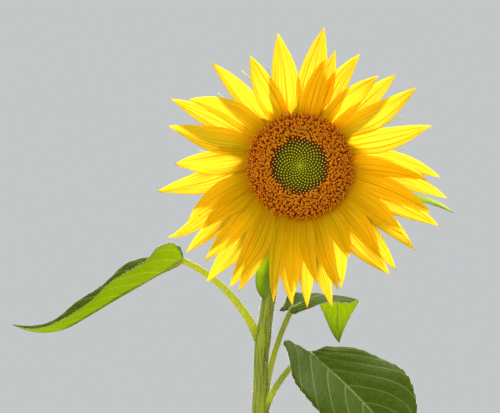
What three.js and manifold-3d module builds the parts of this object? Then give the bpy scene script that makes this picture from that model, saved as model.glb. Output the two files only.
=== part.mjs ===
// A flowering sunflower plant, 1.41 m tall, rooted in level ground: one stem with sixteen stalked
// leaves, and at its top one head that faces forwards. Millimetres, +Z up, +X to the right and -Y
// forwards, with the origin at the centre of the flat cut under the stem, at ground level.
import * as THREE from "three";
import { mergeVertices } from "three/addons/utils/BufferGeometryUtils.js";
import Module from "manifold-3d";

const wasm = await Module();
wasm.setup();

const GAP = 0.3; // clear space where two pieces meet
const GOLDEN_ANGLE = 137.5; // degrees from one leaf, or bract, to the next round the stem
const STALK_JOINTS = 7;
const STALK_SIDES = 6;

// Stem: height, x, y and radius at each station, from the root flare to the foot of the neck
const STEM_STATIONS = [
  [0, 0, 0, 17.5],
  [18, 0, 0, 14.6],
  [60, -0.5, 0.4, 12.9],
  [300, -4, 3, 12.2],
  [600, 1, -3, 10.6],
  [900, 6, 2, 8.2],
  [1102, 7.6, 0, 6.2],
  [1143, 8.4, 0, 5.9],
  [1176, 12.6, 1, 5.7],
  [1200, 16.3, 2.5, 5.6],
];
const STEM_RINGS = 30;
const STEM_SIDES = 12;
const FLARE_CROWDING = 1.6; // over 1, the rings crowd towards the ground, where the flare curves

// Head: where the disc's base plane has its centre, and how far its face tips up
const HEAD_CENTRE = new THREE.Vector3(39.4, -56, 1299.4);
const HEAD_TILT = 4;
const RECEPTACLE_DEPTH = 28; // from the disc's base plane back to the neck
const RECEPTACLE_FOOT = 8.5; // radius where the neck joins
const CORE_RADIUS = 33; // the receptacle's core, which the rings of rays and bracts sit round
const RIM_SIDES = 24;

// Neck: it carries on from the stem and bends forwards into the back of the receptacle
const NECK_REACH_UP = 50; // handle lengths of its curve at the stem and at the head
const NECK_REACH_BACK = 40;
const NECK_JOINTS = 11;

// Disc: a ring of open florets round the green buds, both standing out of the base plane
const DISC_RADIUS = 43.5;
const BUD_RADIUS = 24.5;
const BUD_HEIGHT = 5.5;
const FLORET_HEIGHT = 9.5;
const FLORET_BUMP = 0.7; // how far the florets' tops stand up and down
const DISC_SIDES = 40;

// Rays, in two ranks. Each row has the clock angle of a ray's tip (degrees clockwise from the top of
// the head), its reach from the head's centre, the ray's width and how far it bows clockwise half-way
// along, and where its tip hooks, by how many degrees clockwise.
const FRONT_RAYS = [
  [14, 92, 19, 0], [41, 99, 21, 1], [56, 116, 23, 7], [73, 113, 22, 5.5],
  [96, 104, 20, 0], [110, 114, 21, 0], [124, 101, 20, 0], [139, 100, 20, 0],
  [152, 85, 20, 0], [163, 106, 18, 3], [172, 97, 15, 3], [183, 108, 20, 0],
  [191, 114, 14, 0], [210, 115, 23, -5], [225, 110, 19, -3], [237, 94, 20, 0],
  [244, 101, 20, 0], [271, 103, 24, -4], [287, 112, 24, -6], [301, 106, 21, 2.5],
  [336, 100, 22, -2.5],
];
const BACK_RAYS = [
  [10, 118, 26, 2.5], [17, 101, 18, 2], [28, 106, 21, -4], [46, 111, 21, 0],
  [94, 116, 20, 0], [102, 124, 20, 0], [113, 124, 23, 3], [126, 117, 20, 0],
  [137, 116, 20, 0], [140, 115, 25, 3], [161, 105, 21, -5], [167, 118, 19, 0],
  [177, 116, 18, -4], [183, 114, 19, 0], [206, 114, 20, -4], [219, 122, 24, -5.5],
  [233, 117, 20, -3], [242, 123, 18, -2, 8], [260, 119, 23, -6.5], [298, 120, 21, 0],
  [320, 113, 19, 2], [351, 112, 26, 3.5],
];
const RAY_ROOT = 41; // radius at which a ray leaves its ring
const RAY_ROOT_WIDTHS = [7, 17]; // the least and the most, where the roots stand thick or thin
const RAY_THICKNESS = 1;
const RAY_EVENNESS = 0.35; // how far the roots are evened out round the rim, from 0 to 1

// Bracts: two series of green scales behind the rays
const BRACTS_IN_SERIES = 17;
const BRACT_ROOT = 35;
const BRACT_WIDTH = 19;
const BRACT_THICKNESS = 1.1;
const BRACT_BEND = 55; // they fall back over this length, and run straight out past it
const BRACT_TURN = -7; // clock angle of the first one in the outer series
const LEAFY_BRACTS = [
  // clock angle, reach and sideways curl of two longer ones, and how leafy they are, from 0 to 1
  [107, 134, 6, 0.3],
  [195, 112, -6, 1],
];

// Leaves that are set one by one, from the top. height is where the stalk leaves the stem, and
// heading is in degrees from +X towards +Y. rises are the slopes at the stem, at the blade's foot,
// just past it, at two thirds of the blade and at its tip. fold is how far each half lifts, roll how
// far the blade turns about its midrib, to the right-hand side down, and twist how much further it
// does so over the blade's first third. veer is how far it swings sideways. The blade's outline is
// widest at that share of its length, has that share of its width at the foot, and runs straighter
// into its tip as fullness nears 1. lobe is how far the lobes at its foot reach back, over its
// length, and skew how much more so on the right-hand side.
const TOP_LEAVES = [
  {
    height: 1154, heading: 178, stalk: 93, blade: 163, width: 70,
    rises: [68, 26, -30, -31.5, 27], fold: 38, roll: 4, twist: -12, veer: 0,
    widest: 0.1, foot: 0.84, fullness: 2.1, lobe: 0.01, skew: 0,
  },
  {
    height: 1100, heading: 30, stalk: 83, blade: 122, width: 58,
    rises: [83, 60, 27, -25, -134], fold: 5, roll: 5, twist: 0, veer: 77,
    widest: 0.34, foot: 0.38, fullness: 1.3, lobe: 0.05, skew: 0,
  },
  {
    height: 1093, heading: -34, stalk: 68, blade: 124, width: 112,
    rises: [68, 33, -34, -42, -52], fold: 15, roll: 17, twist: 0, veer: 0,
    widest: 0.46, foot: 0.28, fullness: 2, lobe: 0.06, skew: 0.09,
  },
];
// The rest follow a rule, in steps down the stem from the first of them
const LOWER_LEAVES = 13;
const LOWER_TOP = 1034;
const INTERNODE = 50; // times the number of steps to the power 1.12, as the steps lengthen downwards
const SHORTEST_BLADE = 95;
const BLADE_SWELL = 125; // how much longer the longest one is, half-way down
const WIDTH_TO_LENGTH = 0.8;
const STALK_TO_LENGTH = 0.6;
const BLADE_CELLS_ACROSS = 4;
const BLADE_CELLS_ALONG = 10;
const BLADE_THINNESS = 85; // blade length over thickness

const COLOURS = {
  stem: 0x8a9636, stalk: 0x97a43c, leaf: 0x4a6b2f, bract: 0x5f8a2a, receptacle: 0x74963a,
  ray: 0xf9cf16, floret: 0xa5541a, bud: 0x7d8a1c,
};

const radians = THREE.MathUtils.degToRad;
const { lerp, clamp, smoothstep } = THREE.MathUtils;
const UP = new THREE.Vector3(0, 0, 1);

// A repeatable number from -1 to 1 for one trait of one member of a series
function scatter(member, trait) {
  const wave = Math.sin(member * 12.9898 + trait * 78.233) * 43758.5453;
  return 2 * (wave - Math.floor(wave)) - 1;
}

// Reads a list of values spaced evenly from 0 to 1 at t, with straight lines between them
function along(values, t) {
  const place = clamp(t, 0, 1) * (values.length - 1);
  const before = Math.min(Math.floor(place), values.length - 2);
  return lerp(values[before], values[before + 1], place - before);
}

// Column `column` of the stem's stations at a height, eased from one station to the next
function stemValue(height, column) {
  const rows = STEM_STATIONS;
  let i = 1;
  while (i < rows.length - 1 && rows[i][0] < height) i += 1;
  const slope = (k) => {
    const [a, b] = [rows[Math.max(k - 1, 0)], rows[Math.min(k + 1, rows.length - 1)]];
    return (b[column] - a[column]) / (b[0] - a[0]);
  };
  const [low, high] = [rows[i - 1], rows[i]];
  const span = high[0] - low[0];
  const t = (height - low[0]) / span;
  return (
    low[column] * (1 + 2 * t) * (1 - t) ** 2 + high[column] * t * t * (3 - 2 * t) +
    span * (slope(i - 1) * t * (1 - t) ** 2 - slope(i) * t * t * (1 - t))
  );
}

function stemCentre(height) {
  return new THREE.Vector3(stemValue(height, 1), stemValue(height, 2), height);
}

// Moves each vertex of a geometry to where `place` puts it, and closes its seams
function reshape(geometry, place) {
  geometry.deleteAttribute("normal");
  geometry.deleteAttribute("uv");
  const spots = geometry.getAttribute("position");
  for (let i = 0; i < spots.count; i += 1) {
    const spot = place(new THREE.Vector3().fromBufferAttribute(spots, i));
    spots.setXYZ(i, spot.x, spot.y, spot.z);
  }
  return mergeVertices(geometry, 1e-3);
}

// Gives each joint of a spine its direction, and a side turned as little as possible on the way up.
// An end can be told which way to face.
function spineOf(points, radii, firstSide, firstDirection, lastDirection) {
  const side = firstSide.clone();
  const last = points.length - 1;
  return points.map((point, i) => {
    const told = (i === 0 && firstDirection) || (i === last && lastDirection);
    const ahead = points[Math.min(i + 1, last)];
    const direction = told ? told.clone() : ahead.clone().sub(points[Math.max(i - 1, 0)]).normalize();
    side.addScaledVector(direction, -side.dot(direction)).normalize();
    return { point, direction, side: side.clone(), radius: radii[i] };
  });
}

// A tapering limb: a cylinder with one ring of vertices at each joint of its spine
function limb(spine, sides, grown = 0) {
  const last = spine.length - 1;
  return reshape(new THREE.CylinderGeometry(1, 1, 1, sides, last), (v) => {
    const joint = spine[Math.round((v.y + 0.5) * last)];
    const other = new THREE.Vector3().crossVectors(joint.direction, joint.side);
    return joint.point
      .clone()
      .addScaledVector(other, v.x * (joint.radius + grown))
      .addScaledVector(joint.side, v.z * (joint.radius + grown));
  });
}

// A thin blade: a flat box whose vertices go to place(u, v, face), where u runs from -1 to 1
// across it, v from 0 to 1 along it, and face is 1 on top and -1 underneath
function blade(cellsAcross, cellsAlong, place) {
  const slab = new THREE.BoxGeometry(2, 1, 2, cellsAcross, cellsAlong, 1);
  return reshape(slab, (v) => place(v.x, v.y + 0.5, v.z));
}

function solidOf(geometry) {
  return new wasm.Manifold(
    new wasm.Mesh({
      numProp: 3,
      vertProperties: geometry.getAttribute("position").array,
      triVerts: new Uint32Array(geometry.index.array),
    }),
  );
}

function geometryOf(solid) {
  const mesh = solid.getMesh();
  const geometry = new THREE.BufferGeometry();
  geometry.setAttribute("position", new THREE.BufferAttribute(mesh.vertProperties, mesh.numProp));
  geometry.setIndex(new THREE.BufferAttribute(mesh.triVerts, 1));
  geometry.computeVertexNormals();
  return geometry;
}

function fused(geometries) {
  return geometries.map(solidOf).reduce((whole, next) => whole.add(next));
}

function piece(name, geometry, colour, roughness) {
  geometry.computeVertexNormals();
  const material = new THREE.MeshStandardMaterial({ color: colour, roughness, metalness: 0 });
  const mesh = new THREE.Mesh(geometry, material);
  mesh.name = name;
  return mesh;
}

// A round solid turned about the head's axis, from [radius, depth] corners. raise(spoke, depth)
// moves a vertex forwards, where spoke counts the vertices round the rim.
function turned(corners, sides, raise = () => 0) {
  const profile = corners.map(([radius, depth]) => new THREE.Vector2(radius, depth));
  return reshape(new THREE.LatheGeometry(profile, sides), (v) => {
    const spoke = Math.round((Math.atan2(v.z, v.x) / (2 * Math.PI)) * sides);
    return new THREE.Vector3(v.z, v.x, v.y + raise(spoke, v.y));
  });
}

// Stem and neck

function stemSpine() {
  const top = STEM_STATIONS.at(-1)[0];
  const shares = Array.from({ length: STEM_RINGS + 1 }, (_, i) => i / STEM_RINGS);
  const heights = shares.map((share) => top * share ** FLARE_CROWDING);
  const radii = heights.map((height) => stemValue(height, 3));
  return spineOf(heights.map(stemCentre), radii, new THREE.Vector3(1, 0, 0), UP);
}

function headAxis() {
  return new THREE.Vector3(0, -Math.cos(radians(HEAD_TILT)), Math.sin(radians(HEAD_TILT)));
}

function neckSpine(stem) {
  const { point: foot, direction, side } = stem.at(-1);
  const start = foot.clone().addScaledVector(direction, GAP);
  const end = HEAD_CENTRE.clone().addScaledVector(headAxis(), -RECEPTACLE_DEPTH - GAP);
  const curve = new THREE.CubicBezierCurve3(
    start,
    start.clone().addScaledVector(direction, NECK_REACH_UP),
    end.clone().addScaledVector(headAxis(), -NECK_REACH_BACK),
    end,
  );
  const points = curve.getPoints(NECK_JOINTS);
  const radii = points.map((_, i) => {
    const t = i / NECK_JOINTS;
    return lerp(stem.at(-1).radius, RECEPTACLE_FOOT, smoothstep(t, 0.45, 1));
  });
  return spineOf(points, radii, side, direction, headAxis());
}

// Leaves

function lowerLeaf(step) {
  const swell = Math.sin((Math.PI * (step + 3)) / (LOWER_LEAVES + 4));
  const length = SHORTEST_BLADE + BLADE_SWELL * swell;
  const droop = 14 * (step / LOWER_LEAVES);
  return {
    height: LOWER_TOP - INTERNODE * step ** 1.12 + 5 * scatter(step, 1),
    heading: TOP_LEAVES.at(-1).heading - GOLDEN_ANGLE * (step + 1) + 7 * scatter(step, 2),
    stalk: length * STALK_TO_LENGTH,
    blade: length,
    width: length * WIDTH_TO_LENGTH,
    widest: 0.24,
    foot: 0.66,
    fullness: 1.45,
    lobe: 0.16,
    skew: 0,
    rises: [
      46 + 8 * scatter(step, 3) - droop,
      6 + 8 * scatter(step, 4) - droop,
      -20 + 8 * scatter(step, 5) - droop,
      -46 + 8 * scatter(step, 6) - droop,
      -64 + 8 * scatter(step, 7),
    ],
    fold: 15 + 5 * scatter(step, 8),
    roll: 10 * scatter(step, 9),
    twist: 0,
    veer: 14 * scatter(step, 10),
  };
}

// The line that a leaf grows along, from inside the stem to its tip. Distances are along it.
function leafLine(leaf) {
  const steps = 120;
  const whole = leaf.stalk + leaf.blade;
  const stride = whole / steps;
  const [atStem, atFoot, pastFoot, atTwoThirds, atTip] = leaf.rises;
  const heading = radians(leaf.heading);
  const outwards = new THREE.Vector3(Math.cos(heading), Math.sin(heading), 0);
  const start = stemCentre(leaf.height).addScaledVector(outwards, 0.6 * stemValue(leaf.height, 3));
  const joints = [];
  for (let i = 0; i <= steps; i += 1) {
    const travelled = i * stride - leaf.stalk;
    const t = travelled / leaf.blade;
    let rise = lerp(atStem, atFoot, clamp((travelled + leaf.stalk) / leaf.stalk, 0, 1));
    if (t > 0) rise = lerp(atFoot, pastFoot, smoothstep(t, 0, 0.04));
    if (t > 0.04) rise = lerp(pastFoot, atTwoThirds, clamp((t - 0.04) / 0.62, 0, 1));
    if (t > 0.66) rise = lerp(atTwoThirds, atTip, (t - 0.66) / 0.34);
    const turn = heading + radians(leaf.veer) * clamp(t, 0, 1);
    const twist = leaf.twist * smoothstep(t, 0.08, 0.35);
    const roll = radians(leaf.roll * smoothstep(travelled, -0.7 * leaf.stalk, 0) + twist);
    const flat = new THREE.Vector3(Math.cos(turn), Math.sin(turn), 0);
    const direction = flat.clone().multiplyScalar(Math.cos(radians(rise)));
    direction.addScaledVector(UP, Math.sin(radians(rise)));
    const right = new THREE.Vector3(Math.sin(turn), -Math.cos(turn), 0);
    const side = right.applyAxisAngle(direction, roll);
    const point = i ? joints[i - 1].point.clone().addScaledVector(direction, stride) : start;
    joints.push({ point, direction, side, top: new THREE.Vector3().crossVectors(side, direction) });
  }
  return joints;
}

// The joint at a distance from the blade's foot: before the line's start it carries on straight
function jointAt(line, leaf, distance) {
  const place = ((distance + leaf.stalk) / (leaf.stalk + leaf.blade)) * (line.length - 1);
  const i = clamp(Math.round(place), 0, line.length - 1);
  const stride = (leaf.stalk + leaf.blade) / (line.length - 1);
  const joint = line[i];
  return { ...joint, point: joint.point.clone().addScaledVector(joint.direction, (place - i) * stride) };
}

function stalkSpine(leaf, line) {
  const radii = [0.024, 0.019, 0.0165, 0.0155, 0.015].map((share) => share * leaf.blade + 0.3);
  const joints = Array.from({ length: STALK_JOINTS }, (_, i) => {
    const t = i / (STALK_JOINTS - 1);
    return { ...jointAt(line, leaf, lerp(-leaf.stalk, -GAP, t)), radius: along(radii, t) };
  });
  return joints;
}

// Half the blade's width at v, over its widest: heart-shaped, drawn out to a point, and toothed
function leafOutline(leaf, v) {
  const swell = lerp(leaf.foot, 1, Math.sin((Math.PI / 2) * Math.min(v / leaf.widest, 1)));
  const taper = 1 - clamp((v - leaf.widest) / (1 - leaf.widest), 0, 1) ** leaf.fullness;
  const tooth = Math.round(v * BLADE_CELLS_ALONG) % 2 ? 1.03 : 0.97;
  return Math.max(swell * taper * tooth, 0.012);
}

function leafBlade(leaf, line) {
  const fold = radians(leaf.fold);
  const thick = leaf.blade / BLADE_THINNESS;
  const lean = jointAt(line, leaf, 0.1 * leaf.blade).direction;
  return blade(BLADE_CELLS_ACROSS, BLADE_CELLS_ALONG, (u, v, face) => {
    const out = Math.abs(u);
    const reachBack = (leaf.lobe + leaf.skew * Math.sign(u)) * leaf.blade;
    const lobe = reachBack * Math.sin(0.72 * Math.PI * out) * (1 - v) ** 3;
    const half = (leaf.width / 2) * leafOutline(leaf, v) * out;
    const joint = jointAt(line, leaf, lerp(GAP, leaf.blade, v));
    const lie = jointAt(line, leaf, Math.max(v, 0.05) * leaf.blade);
    const ridge = face < 0 && out < 0.1 ? 1.2 * thick * (1 - 0.8 * v) : 0;
    const lift = half * Math.sin(fold) - 0.12 * half * out + (face * thick) / 2 - ridge;
    return joint.point
      .clone()
      .addScaledVector(lean, -lobe)
      .addScaledVector(lie.side, Math.sign(u) * half * Math.cos(fold))
      .addScaledVector(lie.top, lift);
  });
}

function leafGroup(leaf, number, stemGrown) {
  const line = leafLine(leaf);
  const spine = stalkSpine(leaf, line);
  const end = spine.at(-1);
  const pastEnd = { ...end, point: end.point.clone().addScaledVector(end.direction, 2 * GAP) };
  const tag = String(number).padStart(2, "0");
  const stalk = solidOf(limb(spine, STALK_SIDES)).subtract(stemGrown);
  const socket = solidOf(limb([...spine.slice(0, -1), pastEnd], STALK_SIDES, GAP));
  const lamina = solidOf(leafBlade(leaf, line)).subtract(socket);
  const group = new THREE.Group();
  group.add(piece(`stalk_${tag}`, geometryOf(stalk), COLOURS.stalk, 0.6));
  group.add(piece(`leaf_${tag}`, geometryOf(lamina), COLOURS.leaf, 0.55));
  return group;
}

// Head. Its own frame has +Z forwards, out of the face, and +Y towards the top of the clock.

// A strap that runs outwards from the rim: root and tip are clock angles, and depthAt, widthAt and
// cup shape it. It is thin, and hollow along the middle as cup says. Its last stretch curls by that
// many degrees, and half-way along it bows by that many millimetres.
function strap({ root, tip, start, reach, widthAt, depthAt, cup, twist, thick, cells, curl, bow }) {
  const spineAt = (t) => {
    const clock = radians(lerp(root, tip - curl, t ** 1.2) + curl * t ** 4);
    const radius = lerp(start, reach, t);
    return new THREE.Vector3(radius * Math.sin(clock), radius * Math.cos(clock), depthAt(t));
  };
  return blade(2, cells, (u, v, face) => {
    const point = spineAt(v);
    const direction = spineAt(Math.min(v + 0.02, 1)).sub(spineAt(Math.max(v - 0.02, 0))).normalize();
    const flat = new THREE.Vector3(direction.y, -direction.x, 0).normalize();
    const side = flat.applyAxisAngle(direction, radians(twist) * v);
    const top = new THREE.Vector3().crossVectors(side, direction);
    const half = widthAt(v);
    return point
      .addScaledVector(side, u * half + bow * Math.sin(Math.PI * v))
      .addScaledVector(top, cup * half * u * u * Math.min(4 * v, 1) + (face * thick) / 2);
  });
}

function rayHalfWidth(t, rootWidth, width) {
  return Math.max((lerp(rootWidth, width, smoothstep(t, 0, 0.42)) / 2) * (1 - t ** 2.7), 0.25);
}

// The roots of a rank: each ray's clock angle, drawn towards an even share of the rim, and width
function rayRoots(rank) {
  const share = 360 / rank.length;
  const offset = rank.reduce((sum, [tip], i) => sum + tip - i * share, 0) / rank.length;
  const clocks = rank.map(([tip], i) => lerp(tip, offset + i * share, RAY_EVENNESS));
  return clocks.map((clock, i) => {
    const before = clocks.at(i - 1) - (i ? 0 : 360);
    const after = clocks[(i + 1) % rank.length] + (i < rank.length - 1 ? 0 : 360);
    return { clock, width: clamp(1.1 * RAY_ROOT * radians((after - before) / 2), ...RAY_ROOT_WIDTHS) };
  });
}

function rayRank(rank, depth, spread, seed) {
  const roots = rayRoots(rank);
  return rank.map(([tip, reach, width, bow, curl = 0], i) => {
    const bend = 4 * scatter(i + seed, 1);
    const shape = (t) => depth + spread.rise * Math.sin(0.75 * Math.PI * t) - spread.fall * t * t;
    return strap({
      root: roots[i].clock, tip, reach, start: RAY_ROOT, curl, bow,
      widthAt: (t) => rayHalfWidth(t, roots[i].width, width),
      depthAt: (t) => shape(t) + bend * t ** 3,
      cup: 0.16, twist: 10 * scatter(i + seed, 3), thick: RAY_THICKNESS, cells: 5,
    });
  });
}

// An ovate scale with a drawn-out tip, or a broad strap as far as it is leafy
function bractHalfWidth(t, leafy) {
  const foot = (BRACT_WIDTH / 2) * (0.7 + 0.3 * smoothstep(t, 0, 0.25));
  const scale = foot * (1 - smoothstep(t, 0.12, 0.66));
  const broad = 0.8 * foot * (1 - t ** 8);
  return Math.max(lerp(scale, broad, leafy), 1.3 * (1 - t * t), 0.3);
}

function bractSeries(depth, fall, offset, reach, seed, longer = []) {
  const plain = Array.from({ length: BRACTS_IN_SERIES }, (_, i) => {
    const clock = offset + (360 / BRACTS_IN_SERIES) * i + 4 * scatter(i + seed, 1);
    return [clock, reach + 6 * scatter(i + seed, 2), 5 * scatter(i + seed, 4), 0];
  });
  const clear = ([clock]) => longer.every(([other]) => Math.abs(clock - other) > 9);
  return [...plain.filter(clear), ...longer].map(([clock, tip, curl, leafy], i) =>
    strap({
      root: clock, tip: clock, start: BRACT_ROOT, reach: tip, curl, bow: 0,
      widthAt: (t) => bractHalfWidth(t, leafy),
      depthAt: (t) => depth - fall * Math.min((t * (tip - BRACT_ROOT)) / BRACT_BEND, 1) ** 1.6,
      cup: 0.14, twist: 8 * scatter(i + seed, 3), thick: BRACT_THICKNESS, cells: 4,
    }),
  );
}

// The ring that a rank or series grows from, round the receptacle's core
function rim(outer, back, front) {
  const inner = CORE_RADIUS + 2 * GAP;
  return turned([[inner, back], [outer, back], [outer, front], [inner, front], [inner, back]], RIM_SIDES);
}

function headGroup() {
  const head = new THREE.Group();
  head.position.copy(HEAD_CENTRE);
  head.rotation.x = Math.PI / 2 - radians(HEAD_TILT);
  const add = (name, geometry, colour, roughness) => head.add(piece(name, geometry, colour, roughness));

  const back = -RECEPTACLE_DEPTH;
  const receptacle = [
    [0, back], [RECEPTACLE_FOOT, back], [18, back + 2.2], [30, back + 6], [36, back + 10],
    [37, back + 13.6], [CORE_RADIUS, back + 13.8], [CORE_RADIUS, -0.5], [0, -0.5],
  ];
  add("receptacle", turned(receptacle, RIM_SIDES), COLOURS.receptacle, 0.6);

  const outerRim = rim(38, -13.9, -10.9);
  const outer = bractSeries(-12.4, 26, BRACT_TURN, 92, 40, LEAFY_BRACTS);
  add("bracts_outer", geometryOf(fused([outerRim, ...outer])), COLOURS.bract, 0.6);
  const innerRim = rim(39, -10.5, -7.3);
  const inner = bractSeries(-8.9, 13, BRACT_TURN + 180 / BRACTS_IN_SERIES, 92, 70);
  add("bracts_inner", geometryOf(fused([innerRim, ...inner])), COLOURS.bract, 0.6);

  const backRim = rim(44, -6.6, -3.8);
  const backRank = rayRank(BACK_RAYS, -5.2, { rise: 2, fall: 4 }, 0);
  add("rays_back", geometryOf(fused([backRim, ...backRank])), COLOURS.ray, 0.5);
  const frontRim = rim(44.5, -3.2, -0.5);
  const frontRank = rayRank(FRONT_RAYS, -1.9, { rise: 8, fall: 2 }, 100);
  add("rays_front", geometryOf(fused([frontRim, ...frontRank])), COLOURS.ray, 0.5);

  const ringInner = BUD_RADIUS + GAP;
  const ring = [
    [ringInner, 0], [DISC_RADIUS - 2, 0], [DISC_RADIUS, 3], [DISC_RADIUS - 2.5, 7],
    [38, FLORET_HEIGHT - 0.6], [33.5, FLORET_HEIGHT], [29, FLORET_HEIGHT - 0.6], [ringInner, 6.4],
    [ringInner, 0],
  ];
  const bump = (spoke, depth) => (depth > 1 ? FLORET_BUMP * (spoke % 2 ? 1 : -1) : 0);
  add("disc_florets", turned(ring, DISC_SIDES, bump), COLOURS.floret, 0.8);
  const buds = [
    [0, 0], [BUD_RADIUS, 0], [BUD_RADIUS, BUD_HEIGHT + 0.4], [17, BUD_HEIGHT + 0.5], [9, BUD_HEIGHT],
    [0, BUD_HEIGHT - 0.5],
  ];
  add("disc_buds", turned(buds, DISC_SIDES), COLOURS.bud, 0.7);
  return head;
}

const plant = new THREE.Group();
const stem = stemSpine();
plant.add(piece("stem", limb(stem, STEM_SIDES), COLOURS.stem, 0.6));
plant.add(piece("neck", limb(neckSpine(stem), STEM_SIDES), COLOURS.stem, 0.6));
plant.add(headGroup());

const stemGrown = solidOf(limb(stem, STEM_SIDES, GAP));
const leaves = [...TOP_LEAVES, ...Array.from({ length: LOWER_LEAVES }, (_, step) => lowerLeaf(step))];
leaves.forEach((leaf, i) => plant.add(leafGroup(leaf, i + 1, stemGrown)));

export default plant;
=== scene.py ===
"""Dresses a flowering sunflower plant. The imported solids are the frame, and finer ray florets, disc
florets, bracts, leaves, stalks and stem stand in their places, with the hairs that the skin has.
Shapes are worked out in millimetres, as the plant was measured, and each finished piece is scaled to
metres. The head's own frame has +Z out of its face and +Y towards the top of the clock."""

import random
from collections import namedtuple
from functools import lru_cache, partial
from math import atan2, copysign, cos, exp, floor, hypot, pi, radians, sin, sqrt, tau

import bmesh
import bpy
import numpy as np
from mathutils import Matrix, Quaternion, Vector


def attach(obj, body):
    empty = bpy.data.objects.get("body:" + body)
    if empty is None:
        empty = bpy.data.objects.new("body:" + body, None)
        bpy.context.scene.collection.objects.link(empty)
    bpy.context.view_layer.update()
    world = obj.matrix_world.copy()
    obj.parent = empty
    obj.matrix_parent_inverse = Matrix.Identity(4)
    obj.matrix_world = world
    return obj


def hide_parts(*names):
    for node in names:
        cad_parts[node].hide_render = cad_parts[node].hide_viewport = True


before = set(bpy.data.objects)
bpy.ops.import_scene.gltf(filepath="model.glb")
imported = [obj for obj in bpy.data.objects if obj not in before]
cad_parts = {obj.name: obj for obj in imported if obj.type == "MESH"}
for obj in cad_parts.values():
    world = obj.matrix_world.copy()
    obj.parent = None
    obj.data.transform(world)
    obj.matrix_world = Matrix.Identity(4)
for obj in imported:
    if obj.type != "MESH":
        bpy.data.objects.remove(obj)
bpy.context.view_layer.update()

MM = 0.001
GAP = 0.3  # between pieces that meet end to end
BODY = "root"
UP = Vector((0, 0, 1))

# Stem: height, x, y and radius at each station
STEM_STATIONS = [
    (0, 0, 0, 17.5), (18, 0, 0, 14.6), (60, -0.5, 0.4, 12.9), (300, -4, 3, 12.2), (600, 1, -3, 10.6),
    (900, 6, 2, 8.2), (1102, 7.6, 0, 6.2), (1143, 8.4, 0, 5.9), (1176, 12.6, 1, 5.7),
    (1200, 16.3, 2.5, 5.6),
]
FLARE_CROWDING = 1.6  # above 1, the stem's rings are closer at its flared foot
STEM_RINGS = 170
STEM_SIDES = 60
STEM_RIBS = 15
RIB_HEIGHT = 0.14
RIBS_FULL_AT = 60  # the foot is smooth, and the ribs are full from here up
NODE_SWELL = 0.9  # the stem is this much thicker where a leaf leaves it
NODE_SPREAD = 9

HEAD_CENTRE = Vector((39.4, -56, 1299.4))
HEAD_TILT = 4
HEAD = Matrix.Translation(HEAD_CENTRE) @ Matrix.Rotation(pi / 2 - radians(HEAD_TILT), 4, "X")
HEAD_AXIS = HEAD.to_3x3() @ UP
NECK_REACH_UP = 50
NECK_REACH_BACK = 40
NECK_RINGS = 40
NECK_FLARE_FROM = 0.45

RECEPTACLE_DEPTH = 28
RECEPTACLE_FOOT = 8.5
# Radius and height above its foot at each corner of the receptacle's outline
RECEPTACLE_OUTLINE = [
    (0, 0), (RECEPTACLE_FOOT, 0), (13, 0.6), (20, 2.6), (28, 5.8), (34, 9.2), (36.8, 12), (37, 13.6),
    (33, 13.8), (33, 27.5), (0, 27.5),
]
HEAD_RIB_HEIGHT = 0.8
HEAD_RIB_RADII = (9, 26)  # between which a rib on the head's back grows
HEAD_RIBS_BELOW = 13

# Disc: a shallow bowl of buds in a rounded ring of florets. The profile is how far it stands forwards,
# at even steps from the centre to the rim.
DISC_RADIUS = 43.5
BED_PROFILE = [3.0, 3.2, 3.5, 3.8, 4.2, 4.8, 5.4, 5.6, 5.0, 3.4, 0.6]
BED_RADIUS = 41.4
BED_RINGS = 14
BED_STEPS = 72
BED_SUNK = 0.6  # under the profile
BED_FLOOR = 0.2
ROOTS_SUNK = 0.8  # where buds and florets start, under the profile
FLORET_TURN = 137.508  # the golden angle, from each floret to the next
BUDS = 330
BUD_REACH = 24.45
BUD_CROWDING = 0.62  # 0.5 spaces buds evenly, and more crowds them at the centre
BUD_RADIUS = 24.5
FLORETS = 850
FLORET_REACH = 41.6
# Radii at which the zones end. Buds and florets stray over the bounds of theirs.
GREEN_BED_END = 18
GREEN_BUDS_END = 11
OLIVE_BUDS_END = 17.5
BUDS_END = 23
CLOSED_END = 25
INNER_FLORETS_END = 32
ZONE_STRAY = 1.3
GREEN_STRAY = 3
# A bud's size at the centre and at the last bud, and a floret's middle size and how far it strays
BUD_WIDTHS = (1.14, 1.04)
BUD_HEIGHTS = (1.1, 1.5)
CLOSED_HEIGHT = (3.7, 0.3)
FLORET_WIDTH = (1.28, 0.15)
FLORET_HEIGHT = (3.6, 0.5)
FLORET_SPLAY = 0.35  # the slope by which the outermost florets lean out more
RIM_SCALES = 84

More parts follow.
